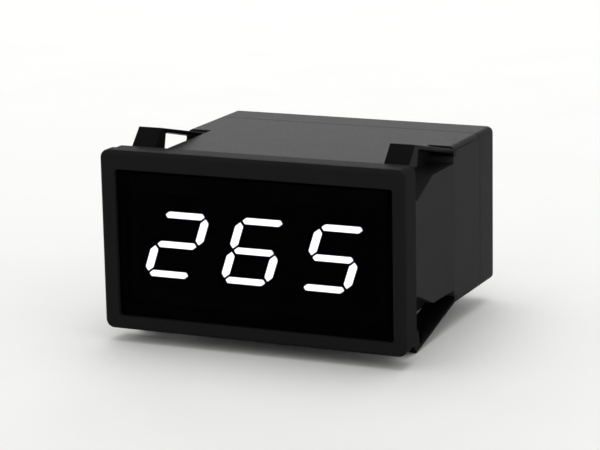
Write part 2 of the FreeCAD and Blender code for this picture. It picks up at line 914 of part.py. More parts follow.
def fuse_caps():
    x, y = fuse_place
    caps = []
    for side in (-1, 1):
        ends = sorted((y + side * (fuse_length / 2 - fuse_cap_length), y + side * fuse_length / 2))
        caps.append(rod_y(fuse_radius + fuse_cap_wall, x, fuse_z, ends[0], ends[1]))
    return caps


def fuse_holders():
    x, y = fuse_place
    bore = fuse_radius + fuse_cap_wall + fuse_holder_play
    result = []
    for side in (-1, 1):
        middle = y + side * (fuse_length / 2 - holder_length / 2)
        body = upright(x, middle, holder_width / 2, holder_length / 2, main_board_top, main_board_top + holder_height)
        body = body.cut(rod_y(bore, x, fuse_z, middle - holder_length, middle + holder_length))
        body = body.cut(upright(x, middle, holder_mouth / 2, holder_length, fuse_z, fuse_z + holder_height))
        legs = [lead(px, middle, main_board_top + lead_width) for px in (x - holder_lead_half, x + holder_lead_half)]
        result.append(joined([body] + legs))
    return result


# Trimmers: a square body with a slotted rotor facing the rear
def trimmer_body(x):
    half = trimmer_side / 2
    start = trimmer_end - trimmer_depth
    body = box(x - half, x + half, start, trimmer_end, main_board_top, main_board_top + trimmer_side)
    body = body.makeChamfer(trimmer_chamfer, edges_at_y(body, trimmer_end))
    return body.cut(rod_y(trimmer_rotor_radius + trimmer_rotor_play, x, trimmer_z,
                          trimmer_end - trimmer_rotor_depth, trimmer_end + 1))


def trimmer_rotor(x):
    end = trimmer_end + trimmer_rotor_proud
    rotor = rod_y(trimmer_rotor_radius, x, trimmer_z, trimmer_end - trimmer_rotor_depth, end)
    slot = rotor_slot_width / 2
    return rotor.cut(box(x - trimmer_rotor_radius - 1, x + trimmer_rotor_radius + 1, end - rotor_slot_depth, end + 1,
                         trimmer_z - slot, trimmer_z + slot))


def build_front():
    shown = ("abged", "afgedc", "afgcd")
    save("front_frame", [front_frame()])
    save("window_plate", [window_plate()])
    for place, name in enumerate(("hundreds", "tens", "units")):
        save("digit_module_" + name, [digit_module(place)])
        save("lit_segments_" + name, lit_segments(shown[place], place))
    save("dark_segments", dark_segments(shown))
    save("display_board", [display_board()])
    save("board_header", [header_body()])
    save("header_pins", header_pins())


def build_case():
    save("case_shell", [case_shell()])
    save("rear_cover", [rear_cover()])
    save("cover_screws", cover_screws())
    for name, side_x, side_z in (("top_right", 1, 1), ("top_left", -1, 1),
                                 ("bottom_right", 1, -1), ("bottom_left", -1, -1)):
        save("spring_clip_" + name, [mirrored(spring_clip(), side_x, side_z)])
    save("terminal_block", [terminal_block()])
    save("terminal_plates", terminal_plates())
    save("clamp_plates", clamp_plates())
    save("terminal_screws", terminal_screws())


def build_main_board():
    save("main_board", [main_board()])
    for name, (x, y) in zip(("converter_chip", "decoder_chip"), chip_places()):
        save(name, [two_row_chip(x, y)])
    save("driver_transistors", transistors())
    save("film_capacitors", film_capacitors())
    save("resistors", resistors())
    save("small_capacitors", [can_capacitor(x, y, small_can_radius, small_can_height) for x, y in small_can_places()])
    save("rectifier", [rectifier()])
    save("regulator", [regulator()])
    save("reservoir_capacitor", [reservoir_capacitor()])
    save("transformer_core", [transformer_core()])
    save("transformer_bobbin", [transformer_bobbin()])
    save("transformer_winding", [transformer_winding()])
    save("transformer_leads", transformer_leads())
    save("fuse_tube", [fuse_tube()])
    save("fuse_caps", fuse_caps())
    save("fuse_holders", fuse_holders())
    for name, x in zip(("zero", "span"), trimmer_x):
        save(name + "_trimmer_body", [trimmer_body(x)])
        save(name + "_trimmer_rotor", [trimmer_rotor(x)])


os.makedirs("parts", exist_ok=True)
build_front()
build_case()
build_main_board()
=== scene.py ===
import math

import bmesh
import bpy
from mathutils import Matrix, Vector


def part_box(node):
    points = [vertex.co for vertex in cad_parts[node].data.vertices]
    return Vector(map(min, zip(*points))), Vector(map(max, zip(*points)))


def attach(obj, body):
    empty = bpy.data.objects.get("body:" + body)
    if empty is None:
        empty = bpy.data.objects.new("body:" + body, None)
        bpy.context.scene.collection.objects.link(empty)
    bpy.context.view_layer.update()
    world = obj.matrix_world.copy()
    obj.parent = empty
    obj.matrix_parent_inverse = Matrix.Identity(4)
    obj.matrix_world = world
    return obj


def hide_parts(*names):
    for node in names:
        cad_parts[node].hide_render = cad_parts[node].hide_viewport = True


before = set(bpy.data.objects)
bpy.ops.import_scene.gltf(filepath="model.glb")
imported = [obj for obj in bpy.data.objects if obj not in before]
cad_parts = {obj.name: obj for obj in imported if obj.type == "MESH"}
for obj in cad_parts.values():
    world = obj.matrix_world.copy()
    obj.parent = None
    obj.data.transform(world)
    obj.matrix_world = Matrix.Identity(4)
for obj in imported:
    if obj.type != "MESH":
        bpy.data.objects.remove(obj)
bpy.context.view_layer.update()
mm = 0.001


def fromHex(code):
    # written sRGB colour to the linear values that the shaders take
    parts = [int(code[i:i + 2], 16) / 255 for i in (1, 3, 5)]
    return tuple(p / 12.92 if p < 0.04045 else ((p + 0.055) / 1.055) ** 2.4 for p in parts) + (1.0,)


def addNode(tree, kind, links=None, **settings):
    # one node: links fills its sockets with values or other nodes' outputs, settings are its own properties.
    # A colour Mix node takes its factor at socket 0 and its two colours at 6 and 7
    node = tree.nodes.new(kind)
    for name, value in settings.items():
        setattr(node, name, value)
    for name, value in (links or {}).items():
        if isinstance(value, bpy.types.NodeSocket):
            tree.links.new(value, node.inputs[name])
        else:
            node.inputs[name].default_value = value
    return node


def startMaterial(name, sockets):
    # the shader with its plain values, and the point on the piece in millimetres for the patterns
    material = bpy.data.materials.new(name)
    material.use_nodes = True
    tree = material.node_tree
    tree.nodes.clear()
    shader = addNode(tree, "ShaderNodeBsdfPrincipled", sockets)
    addNode(tree, "ShaderNodeOutputMaterial", {"Surface": shader.outputs["BSDF"]})
    place = addNode(tree, "ShaderNodeTexCoord")
    inMm = addNode(tree, "ShaderNodeVectorMath", {
        0: place.outputs["Object"], "Scale": 1 / mm}, operation="SCALE")
    return material, tree, shader, inMm.outputs[0]


def mouldedPlastic(name, look):
    # thermoplastic from a steel mould: an even colour, a faint flow cloud, and the grain of the mould's wall
    material, tree, shader, where = startMaterial(name, look.get("sockets", {}))
    cloud = addNode(tree, "ShaderNodeTexNoise", {
        "Vector": where, "Scale": 1 / look["cloudMm"], "Detail": 2.0})
    tint = addNode(tree, "ShaderNodeMix", {
        0: cloud.outputs["Fac"], 6: fromHex(look["dark"]), 7: fromHex(look["light"])}, data_type="RGBA")
    grain = addNode(tree, "ShaderNodeTexNoise", {
        "Vector": where, "Scale": 1 / look["grainMm"], "Detail": 3.0, "Roughness": 0.6})
    spread = addNode(tree, "ShaderNodeMapRange", {
        "Value": grain.outputs["Fac"], "From Min": 0.3, "From Max": 0.7,
        "To Min": look["smooth"], "To Max": look["rough"]})
    bump = addNode(tree, "ShaderNodeBump", {
        "Height": grain.outputs["Fac"], "Strength": look["bump"], "Distance": look["grainDeepMm"] * mm})
    tree.links.new(tint.outputs[2], shader.inputs["Base Color"])
    tree.links.new(spread.outputs[0], shader.inputs["Roughness"])
    tree.links.new(bump.outputs[0], shader.inputs["Normal"])
    return material


def platedMetal(name, look):
    # sheet or turned metal: fine drawn lines one way, a cloud of dulling in the bright surface
    material, tree, shader, where = startMaterial(name, {"Metallic": 1.0})
    turned = addNode(tree, "ShaderNodeMapping", {"Vector": where, "Scale": look["stretch"]})
    lines = addNode(tree, "ShaderNodeTexNoise", {
        "Vector": turned.outputs[0], "Scale": 1 / look["lineMm"], "Detail": 2.0})
    dull = addNode(tree, "ShaderNodeTexNoise", {
        "Vector": where, "Scale": 1 / look["dullMm"], "Detail": 4.0})
    tint = addNode(tree, "ShaderNodeMix", {
        0: dull.outputs["Fac"], 6: fromHex(look["bright"]), 7: fromHex(look["dull"])}, data_type="RGBA")
    spread = addNode(tree, "ShaderNodeMapRange", {
        "Value": dull.outputs["Fac"], "From Min": 0.3, "From Max": 0.7,
        "To Min": look["smooth"], "To Max": look["rough"]})
    bump = addNode(tree, "ShaderNodeBump", {
        "Height": lines.outputs["Fac"], "Strength": 0.25, "Distance": 0.02 * mm})
    tree.links.new(tint.outputs[2], shader.inputs["Base Color"])
    tree.links.new(spread.outputs[0], shader.inputs["Roughness"])
    tree.links.new(bump.outputs[0], shader.inputs["Normal"])
    return material


def clearPlate(name, look):
    # polished and seen through: straight reflections, almost no texture but a faint wave
    material, tree, shader, where = startMaterial(name, look["sockets"])
    wave = addNode(tree, "ShaderNodeTexNoise", {
        "Vector": where, "Scale": 1 / look["waveMm"], "Detail": 1.0})
    tint = addNode(tree, "ShaderNodeMix", {
        0: wave.outputs["Fac"], 6: fromHex(look["dark"]), 7: fromHex(look["light"])}, data_type="RGBA")
    bump = addNode(tree, "ShaderNodeBump", {
        "Height": wave.outputs["Fac"], "Strength": 0.03, "Distance": 0.02 * mm})
    tree.links.new(tint.outputs[2], shader.inputs["Base Color"])
    tree.links.new(bump.outputs[0], shader.inputs["Normal"])
    return material


def litResin(name, look):
    # cast epoxy over a lamp chip: it glows, with a faint cloud of weaker light
    material, tree, shader, where = startMaterial(name, {
        "Roughness": 0.35, "Emission Strength": look["strength"]})
    cloud = addNode(tree, "ShaderNodeTexNoise", {
        "Vector": where, "Scale": 1 / look["cloudMm"], "Detail": 1.0})
    tint = addNode(tree, "ShaderNodeMix", {
        0: cloud.outputs["Fac"], 6: fromHex(look["dim"]), 7: fromHex(look["bright"])}, data_type="RGBA")
    tree.links.new(tint.outputs[2], shader.inputs["Base Color"])
    tree.links.new(tint.outputs[2], shader.inputs["Emission Color"])
    return material


def maskedBoard(name, look):
    # glass-fibre board: copper tracks under green lacquer stand out as slightly lighter, raised strips
    material, tree, shader, where = startMaterial(name, {
        "Roughness": 0.38, "Specular IOR Level": 0.5, "Coat Weight": 0.25, "Coat Roughness": 0.15})
    turned = addNode(tree, "ShaderNodeMapping", {"Vector": where, "Rotation": look["turn"]})
    tracks = addNode(tree, "ShaderNodeTexBrick", {
        "Vector": turned.outputs[0], "Scale": 1 / look["trackMm"], "Mortar Size": 0.12, "Mortar Smooth": 0.1,
        "Color1": (1, 1, 1, 1), "Color2": (0.55, 0.55, 0.55, 1), "Mortar": (0, 0, 0, 1)}, offset=0.37)
    weave = addNode(tree, "ShaderNodeTexChecker", {
        "Vector": turned.outputs[0], "Scale": 1 / look["weaveMm"]})
    lacquer = addNode(tree, "ShaderNodeMix", {
        0: tracks.outputs["Fac"], 6: fromHex(look["track"]), 7: fromHex(look["gap"])}, data_type="RGBA")
    cloth = addNode(tree, "ShaderNodeMix", {
        0: 0.08, 6: lacquer.outputs[2], 7: weave.outputs["Color"]}, data_type="RGBA", blend_type="MULTIPLY")
    bump = addNode(tree, "ShaderNodeBump", {
        "Height": tracks.outputs["Fac"], "Strength": 0.4, "Distance": 0.04 * mm}, invert=True)
    tree.links.new(cloth.outputs[2], shader.inputs["Base Color"])
    tree.links.new(bump.outputs[0], shader.inputs["Normal"])
    return material


def bandedFinish(name, look):
    # what shows as layers across an axis: stacked core sheets, wound tape or printed resistor rings
    material, tree, shader, where = startMaterial(name, look["sockets"])
    split = addNode(tree, "ShaderNodeSeparateXYZ", {"Vector": where})
    ramp = addNode(tree, "ShaderNodeMath", {
        0: split.outputs[look["axis"]], 1: 2 * math.pi / look["bandMm"]}, operation="MULTIPLY")
    wave = addNode(tree, "ShaderNodeMath", {0: ramp.outputs[0]}, operation="SINE")
    edge = addNode(tree, "ShaderNodeMapRange", {
        "Value": wave.outputs[0], "From Min": look["edge"], "From Max": 1.0})
    cloud = addNode(tree, "ShaderNodeTexNoise", {
        "Vector": where, "Scale": 1 / look["cloudMm"], "Detail": 3.0})
    body = addNode(tree, "ShaderNodeMix", {
        0: cloud.outputs["Fac"], 6: fromHex(look["dark"]), 7: fromHex(look["light"])}, data_type="RGBA")
    tint = addNode(tree, "ShaderNodeMix", {
        0: edge.outputs[0], 6: body.outputs[2], 7: fromHex(look["band"])}, data_type="RGBA")
    bump = addNode(tree, "ShaderNodeBump", {
        "Height": edge.outputs[0], "Strength": 0.5, "Distance": look["bandDeepMm"] * mm})
    tree.links.new(tint.outputs[2], shader.inputs["Base Color"])
    tree.links.new(bump.outputs[0], shader.inputs["Normal"])
    return material


# injection-moulded ABS with a spark-eroded skin: matt, it greys where light skims it. The real grain is
# about 0.1 mm and is drawn at 0.45 mm so that it shows
caseAbs = mouldedPlastic("sparkErodedAbs", {
    "dark": "#232324", "light": "#28282a", "cloudMm": 9.0, "grainMm": 0.45, "grainDeepMm": 0.03, "bump": 0.35,
    "smooth": 0.5, "rough": 0.62, "sockets": {"Specular IOR Level": 0.035}})
# the same ABS from a smoother mould face: blacker, satin, with soft highlights on its edges
frameAbs = mouldedPlastic("satinAbs", {
    "dark": "#1d1d1e", "light": "#212122", "cloudMm": 14.0, "grainMm": 0.4, "grainDeepMm": 0.015,
    "bump": 0.25, "smooth": 0.4, "rough": 0.5, "sockets": {"Specular IOR Level": 0.003}})
# moulded acetal of the springs: waxy, smooth and blacker than the case
clipAcetal = mouldedPlastic("smoothAcetal", {
    "dark": "#0b0b0b", "light": "#0f0f10", "cloudMm": 7.0, "grainMm": 0.6, "grainDeepMm": 0.01, "bump": 0.15,
    "smooth": 0.38, "rough": 0.48, "sockets": {"Specular IOR Level": 0.02}})
# smoked cast acrylic, cut, polished and given a skin against glare, hence the low IOR: near black, and the
# lit digits shine through
smokedAcrylic = clearPlate("smokedAcrylic", {
    "dark": "#3f3f42", "light": "#454548", "waveMm": 22.0,
    "sockets": {"Roughness": 0.03, "IOR": 1.05, "Transmission Weight": 1.0}})
# lit epoxy segment: white, strong enough to come through the smoke tint at full white
litSegmentEpoxy = litResin("litSegmentEpoxy", {
    "dim": "#f4f7ff", "bright": "#ffffff", "cloudMm": 4.0, "strength": 27.0})
# unlit epoxy segment: almost as black as its surround
unlitSegmentEpoxy = mouldedPlastic("unlitSegmentEpoxy", {
    "dark": "#070708", "light": "#0a0a0b", "cloudMm": 5.0, "grainMm": 0.8, "grainDeepMm": 0.01, "bump": 0.15,
    "smooth": 0.4, "rough": 0.5, "sockets": {"Specular IOR Level": 0.15}})
# digit module case: moulded black glass-filled polycarbonate, its face printed matt black
modulePlastic = mouldedPlastic("digitModulePolycarbonate", {
    "dark": "#040404", "light": "#060606", "cloudMm": 8.0, "grainMm": 0.5, "grainDeepMm": 0.02, "bump": 0.2,
    "smooth": 0.7, "rough": 0.8, "sockets": {"Specular IOR Level": 0.1}})
# moulded epoxy of chips and transistors: charcoal, dry, fine filler grain
packageEpoxy = mouldedPlastic("packageEpoxy", {
    "dark": "#1d1d1f", "light": "#272729", "cloudMm": 3.0, "grainMm": 0.25, "grainDeepMm": 0.03, "bump": 0.5,
    "smooth": 0.55, "rough": 0.75})
# terminal block: glass-filled PBT, satin black with a slightly oily flow mark
terminalPbt = mouldedPlastic("terminalPbt", {
    "dark": "#18181a", "light": "#202023", "cloudMm": 6.0, "grainMm": 0.35, "grainDeepMm": 0.02, "bump": 0.3,
    "smooth": 0.34, "rough": 0.48, "sockets": {"Specular IOR Level": 0.45}})
# moulded nylon of the transformer's bobbin: off-white and waxy, the light sinks a little way in
bobbinNylon = mouldedPlastic("bobbinNylon", {
    "dark": "#cfc9b8", "light": "#e2ddd0", "cloudMm": 7.0, "grainMm": 0.5, "grainDeepMm": 0.02, "bump": 0.2,
    "smooth": 0.42, "rough": 0.55,
    "sockets": {"Subsurface Weight": 0.1, "Subsurface Radius": (0.001, 0.001, 0.0008)}})
# heat-shrunk PVC sleeve over an aluminium can: dark blue, tight, glossy
sleevePvc = mouldedPlastic("shrunkPvcSleeve", {
    "dark": "#141d3c", "light": "#1b2650", "cloudMm": 6.0, "grainMm": 1.6, "grainDeepMm": 0.03, "bump": 0.2,
    "smooth": 0.18, "rough": 0.3})
# dipped epoxy over wound film: brick red, rounded gloss with orange peel
filmEpoxy = mouldedPlastic("dippedFilmEpoxy", {
    "dark": "#7c1d14", "light": "#97281c", "cloudMm": 3.0, "grainMm": 1.1, "grainDeepMm": 0.05, "bump": 0.35,
    "smooth": 0.16, "rough": 0.26})
# moulded PBT of the trimmers: clear blue, satin
trimmerPbt = mouldedPlastic("trimmerBluePbt", {
    "dark": "#1f4d9c", "light": "#2659ad", "cloudMm": 4.0, "grainMm": 0.4, "grainDeepMm": 0.02, "bump": 0.25,
    "smooth": 0.35, "rough": 0.5})
# bright zinc plated over steel: cool silver, soft highlights, dull clouds
zincSteel = platedMetal("zincPlatedSteel", {
    "bright": "#c9cbcc", "dull": "#a3a6a8", "stretch": (1, 1, 6), "lineMm": 0.5, "dullMm": 2.2,
    "smooth": 0.26, "rough": 0.42})
# hot-tinned copper wire: pale and even, a little cloudy
tinnedCopper = platedMetal("tinnedCopper", {
    "bright": "#cfcfca", "dull": "#a8a8a2", "stretch": (1, 1, 1), "lineMm": 0.6, "dullMm": 1.4,
    "smooth": 0.25, "rough": 0.4})
# rolled brass with a thin tarnish: warm, browner in patches
brassStrip = platedMetal("rolledBrass", {
    "bright": "#d6b565", "dull": "#9c7a3c", "stretch": (8, 1, 1), "lineMm": 0.5, "dullMm": 3.0,
    "smooth": 0.24, "rough": 0.42})
# nickel plated over drawn brass caps: warm silver, sharp highlights
nickelCap = platedMetal("nickelPlatedBrass", {
    "bright": "#cfccc4", "dull": "#aeaaa0", "stretch": (1, 6, 1), "lineMm": 0.6, "dullMm": 2.0,
    "smooth": 0.14, "rough": 0.26})
# drawn glass tube: clear, with bright lines along it
fuseGlass = clearPlate("fuseGlass", {
    "dark": "#e6eef0", "light": "#f4fafb", "waveMm": 6.0,
    "sockets": {"Roughness": 0.04, "IOR": 1.5, "Transmission Weight": 1.0}})
# green lacquer over copper tracks on glass cloth. The tracks are drawn broad, 5 mm apart, so that they show
boardLook = {"track": "#2f7a44", "gap": "#1c5630", "trackMm": 5.0, "weaveMm": 0.6}
mainBoardMask = maskedBoard("maskedMainBoard", dict(boardLook, turn=(0, 0, 0)))
displayBoardMask = maskedBoard("maskedDisplayBoard", dict(boardLook, turn=(math.pi / 2, 0, 0)))
# varnished stack of 0.5 mm core sheets: the edges show as fine dark lines, drawn 1 mm apart so that they show
coreSheets = bandedFinish("varnishedCoreSheets", {
    "axis": "Y", "bandMm": 1.0, "edge": 0.55, "bandDeepMm": 0.08, "cloudMm": 4.0,
    "dark": "#4c4a4a", "light": "#625f5d", "band": "#221f1e",
    "sockets": {"Metallic": 0.7, "Roughness": 0.48}})
# polyester tape wound over the coil: glossy amber, one edge line each turn
windingTape = bandedFinish("polyesterTape", {
    "axis": "Z", "bandMm": 4.2, "edge": 0.86, "bandDeepMm": 0.06, "cloudMm": 5.0,
    "dark": "#b98a1e", "light": "#d4a42c", "band": "#8a6414",
    "sockets": {"Roughness": 0.22, "Coat Weight": 0.3, "Coat Roughness": 0.1}})
# dipped resistor lacquer: beige and glossy, with printed rings of a darker colour
resistorLacquer = bandedFinish("ringedResistorLacquer", {
    "axis": "X", "bandMm": 1.3, "edge": 0.6, "bandDeepMm": 0.03, "cloudMm": 2.0,
    "dark": "#c2a171", "light": "#d3b687", "band": "#6b2c14", "sockets": {"Roughness": 0.3}})
print("materials made:", len(bpy.data.materials))


# pieces that keep the solid's own shape and take a finish
nodeFinish = {
    modulePlastic: ["digit_module_hundreds", "digit_module_tens", "digit_module_units"],
    litSegmentEpoxy: ["lit_segments_hundreds", "lit_segments_tens", "lit_segments_units"],
    unlitSegmentEpoxy: ["dark_segments"],
    mainBoardMask: ["main_board"],
    displayBoardMask: ["display_board"],
    packageEpoxy: ["board_header", "converter_chip", "decoder_chip", "rectifier", "regulator",
                   "driver_transistors", "fuse_holders"],
    tinnedCopper: ["header_pins", "transformer_leads"],
    brassStrip: ["terminal_plates", "zero_trimmer_rotor", "span_trimmer_rotor"],
    coreSheets: ["transformer_core"],
    bobbinNylon: ["transformer_bobbin"],
    windingTape: ["transformer_winding"],
    sleevePvc: ["reservoir_capacitor", "small_capacitors"],
    filmEpoxy: ["film_capacitors"],
    resistorLacquer: ["resistors"],
    fuseGlass: ["fuse_tube"],
    nickelCap: ["fuse_caps"],
    trimmerPbt: ["zero_trimmer_body", "span_trimmer_body"],
}
for finish, names in nodeFinish.items():
    for name in names:
        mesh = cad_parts[name].data
        mesh.materials.clear()
        mesh.materials.append(finish)
        for face in mesh.polygons:
            face.material_index = 0
print("nodes finished:", sum(len(names) for names in nodeFinish.values()))


def linked(name, data):
    holder = bpy.data.objects.new(name, data)
    bpy.context.scene.collection.objects.link(holder)
    return holder


def plainMesh(name, holder):
    # the plain mesh that an object's modifiers leave, without the modifiers and the object
    mesh = bpy.data.meshes.new_from_object(holder.evaluated_get(bpy.context.evaluated_depsgraph_get()))
    holder.modifiers.clear()
    bpy.data.objects.remove(holder)
    mesh.name = name
    return mesh


def intoMesh(name, work):
    # the bmesh as a mesh of this name, with its working copy let go
    mesh = bpy.data.meshes.new(name)
    work.to_mesh(mesh)
    work.free()
    return mesh


def asPiece(name, mesh, finish, body, nodes):
    # a finished mesh as a piece that rides on a body and stands for these nodes
    piece = linked(name, mesh)
    if not mesh.materials:
        mesh.materials.append(finish)
    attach(piece, body)
    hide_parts(*nodes)


# a round needs this many times its width of free face beside it, and the flats keep this much of the shading
softening = {"roomFor": 2.2, "flatShare": 90}


def softened(name, work, edge):
    # makes a bmesh a mesh whose sharp edges carry the small round that a mould or a tool leaves
    bmesh.ops.recalc_face_normals(work, faces=work.faces)
    weight = work.edges.layers.float.new("bevel_weight_edge")
    needed = softening["roomFor"] * edge["width"] * mm
    sharp = {side for side in work.edges if side.calc_face_angle(0) > math.radians(edge["angle"])}
    for side in work.edges:
        room = []
        for end in side.verts:
            passing = sum(other in sharp for other in end.link_edges) == 2  # the round runs on past this end
            room += [other.calc_length() for other in end.link_edges if not (passing and other in sharp)]
        rounded = side in sharp and edge["width"] > 0 and min(room, default=1.0) > needed
        side[weight] = 1.0 if rounded else 0.0
        side.smooth = rounded or side not in sharp
    for face in work.faces:
        face.smooth = True
    holder = linked(name + "Rough", intoMesh(name + "Rough", work))
    if edge["width"] > 0:
        bevel = holder.modifiers.new("bevel", "BEVEL")
        bevel.width = edge["width"] * mm
        bevel.segments = edge["steps"]
        bevel.limit_method = "WEIGHT"
        bevel.use_clamp_overlap = False
    level = holder.modifiers.new("level", "WEIGHTED_NORMAL")  # wide faces stay flat, the rounds take the turn
    level.keep_sharp = True
    level.weight = softening["flatShare"]
    return plainMesh(name, holder)


def roundedLoop(ring, steps=7):
    # the points of one rounded rectangle across the front, the same number for each
    x, z, halfX, halfZ, radius, y = ring
    points = []
    for sideX, sideZ, start in ((1, 1, 0), (-1, 1, 90), (-1, -1, 180), (1, -1, 270)):
        for i in range(steps + 1):
            turn = math.radians(start + 90 * i / steps)
            points.append(((x + sideX * (halfX - radius) + radius * math.cos(turn)) * mm, y * mm,
                           (z + sideZ * (halfZ - radius) + radius * math.sin(turn)) * mm))
    return points


def easedRings(rings, width, mostShare=0.45):
    # three rings for each one that stands in a corner of the profile, so the corner is a small round. The
    # outer two lie this width from it, but never more than the given share of the way to the next ring
    eased = []
    for i, ring in enumerate(rings):
        sides = []
        for other in (rings[i - 1], rings[(i + 1) % len(rings)]):
            step = other[5] - ring[5]
            span = max(math.hypot(other[2] - ring[2], step), math.hypot(other[3] - ring[3], step))
            share = min(width / span, mostShare)
            sides.append([a + share * (b - a) for a, b in zip(ring, other)])
        middle = [0.25 * a + 0.5 * b + 0.25 * c for a, b, c in zip(sides[0], ring, sides[1])]
        eased += [sides[0], middle, sides[1]]
    return eased


def loftRings(rings, closed):
    # skins the rings in turn, either back to the first one or with a face over each end
    work = bmesh.new()
    loops = [[work.verts.new(p) for p in roundedLoop(ring)] for ring in rings]
    pairs = list(zip(loops, loops[1:])) + ([(loops[-1], loops[0])] if closed else [])
    for near, far in pairs:
        for i in range(len(near)):
            j = (i + 1) % len(near)
            work.faces.new((near[i], near[j], far[j], far[i]))
    if not closed:
        work.faces.new(loops[0])
        work.faces.new(list(reversed(loops[-1])))
    return work


# front frame: wall, bevel, face, window pocket, ledge and plug. Each ring is x, z, half width, half height,
# corner round and y
bezel = {"width": 96.0, "height": 54.0, "round": 2.6, "bevel": 1.1, "rear": -5.3, "front": -10.4,
         "pocketX": 0.7, "pocketZ": -0.7, "pocketWidth": 87.4, "pocketHeight": 44.2, "pocketRound": 1.0,
         "pocketFloor": -7.6, "openWidth": 83.0, "openHeight": 39.5, "openRound": 0.3,
         "plugWidth": 85.8, "plugHeight": 45.4, "plugRound": 0.3, "plugEnd": -3.7, "ease": 0.35}
ringEdge = {"width": 0, "angle": 50}  # lofted pieces have their rounds in their rings, so no bevel is added
outer = (0, 0, bezel["width"] / 2, bezel["height"] / 2, bezel["round"])
face = (0, 0, outer[2] - bezel["bevel"], outer[3] - bezel["bevel"], bezel["round"] - bezel["bevel"])
pocket = (bezel["pocketX"], bezel["pocketZ"], bezel["pocketWidth"] / 2, bezel["pocketHeight"] / 2,
          bezel["pocketRound"])
opening = (0, 0, bezel["openWidth"] / 2, bezel["openHeight"] / 2, bezel["openRound"])
plug = (0, 0, bezel["plugWidth"] / 2, bezel["plugHeight"] / 2, bezel["plugRound"])
frameRings = [outer + (bezel["rear"],), outer + (bezel["front"] + bezel["bevel"],), face + (bezel["front"],),
              pocket + (bezel["front"],), pocket + (bezel["pocketFloor"],), opening + (bezel["pocketFloor"],),
              opening + (bezel["plugEnd"],), plug + (bezel["plugEnd"],), plug + (bezel["rear"],)]
frameSkin = loftRings(easedRings(frameRings, bezel["ease"]), True)
frameMesh = softened("frontFrame", frameSkin, ringEdge)
asPiece("frontFrame", frameMesh, frameAbs, "case", ["front_frame"])

# smoked window, in the frame's pocket: a plate with a small bevel round its face
window = {"width": 87.2, "height": 44.0, "round": 1.0, "thick": 1.8, "bevel": 0.25}
plate = (bezel["pocketX"], bezel["pocketZ"], window["width"] / 2, window["height"] / 2, window["round"])
plateFace = plate[:2] + tuple(size - window["bevel"] for size in plate[2:])
plateFront = bezel["pocketFloor"] - window["thick"]
plateRings = [plate + (bezel["pocketFloor"],), plate + (plateFront + window["bevel"],),
              plateFace + (plateFront,)]
plateMesh = softened("smokedWindow", loftRings(plateRings, False), ringEdge)
asPiece("smokedWindow", plateMesh, smokedAcrylic, "case", ["window_plate"])
print("front frame and window made")


# the clip's head as the photo shows it: a little further back, with a thicker foot that hangs behind the
# frame's edge
clipHead = {"headEnd": 10.0, "back": 1.6, "inward": 0.25, "footEnd": 7.0, "footOut": 28.0, "footDown": 1.3,
            "footRear": 5.0, "footThicker": 2.0, "footRearDown": 0.9, "heelOut": 29.4, "heelThicker": 0.7}


def shapeHead(work):
    for vert in work.verts:
        along, out, away = vert.co.y / mm, abs(vert.co.z) / mm, math.copysign(1, vert.co.z)
        foot = along < clipHead["footEnd"] and out < clipHead["footOut"]
        heel = clipHead["footEnd"] < along < clipHead["headEnd"] and out < clipHead["heelOut"]
        if along < clipHead["headEnd"]:
            vert.co.y += clipHead["back"] * mm
            vert.co.z -= away * clipHead["inward"] * mm
        if foot:
            vert.co.z -= away * clipHead["footDown"] * mm
        if foot and along > clipHead["footRear"]:
            vert.co.y += clipHead["footThicker"] * mm
            vert.co.z -= away * clipHead["footRearDown"] * mm
        if heel:
            vert.co.y += clipHead["heelThicker"] * mm


# moulded shells: the solids' shapes with the round edges that the mould leaves
mouldedShells = {
    "case_shell": {"name": "caseShell", "finish": caseAbs, "body": "case", "slot": "black_case_plastic",
                   "width": 0.22, "flangeFrom": 44.3, "flangeUp": 24.3},
    "rear_cover": {"name": "rearCover", "finish": caseAbs, "body": "case", "slot": "black_case_plastic",
                   "width": 0.15},
    "terminal_block": {"name": "terminalBlock", "finish": terminalPbt, "body": "case",
                       "slot": "terminal_plastic", "width": 0.2},
}
for place in ("top_right", "top_left", "bottom_right", "bottom_left"):
    mouldedShells["spring_clip_" + place] = {
        "name": "springClip_" + place, "finish": clipAcetal, "body": "clip_" + place,
        "slot": "black_case_plastic", "width": 0.18, "reshape": shapeHead}
shellLook = {"mergeMm": 0.001, "flatDegrees": 0.8, "roundSteps": 2, "sharpDegrees": 35}


def mergedCopy(node):
    # the solid's own mesh with its loose triangles merged and its flat faces made whole
    work = bmesh.new()
    work.from_mesh(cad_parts[node].data)
    bmesh.ops.remove_doubles(work, verts=work.verts, dist=shellLook["mergeMm"] * mm)
    flat = math.radians(shellLook["flatDegrees"])
    bmesh.ops.dissolve_limit(work, angle_limit=flat, verts=work.verts, edges=work.edges)
    return work


for node, shell in mouldedShells.items():
    work = mergedCopy(node)
    if "reshape" in shell:
        shell["reshape"](work)
    edge = {"width": shell["width"], "steps": shellLook["roundSteps"], "angle": shellLook["sharpDegrees"]}
    mesh = softened(shell["name"], work, edge)
    asPiece(shell["name"], mesh, shell["finish"], shell["body"], [node])
    if "flangeFrom" in shell:  # the flange faces take the frame's darker satin finish, so the band just behind the frame reads darker than the rest of the case
        mesh.materials.append(frameAbs)
        for face in mesh.polygons:
            x, y, z = face.center
            beyond = abs(x) > shell["flangeFrom"] * mm or abs(z) > shell["flangeUp"] * mm
            face.material_index = int(y < 0 and beyond)
    print(shell["name"], "faces", len(mesh.polygons))


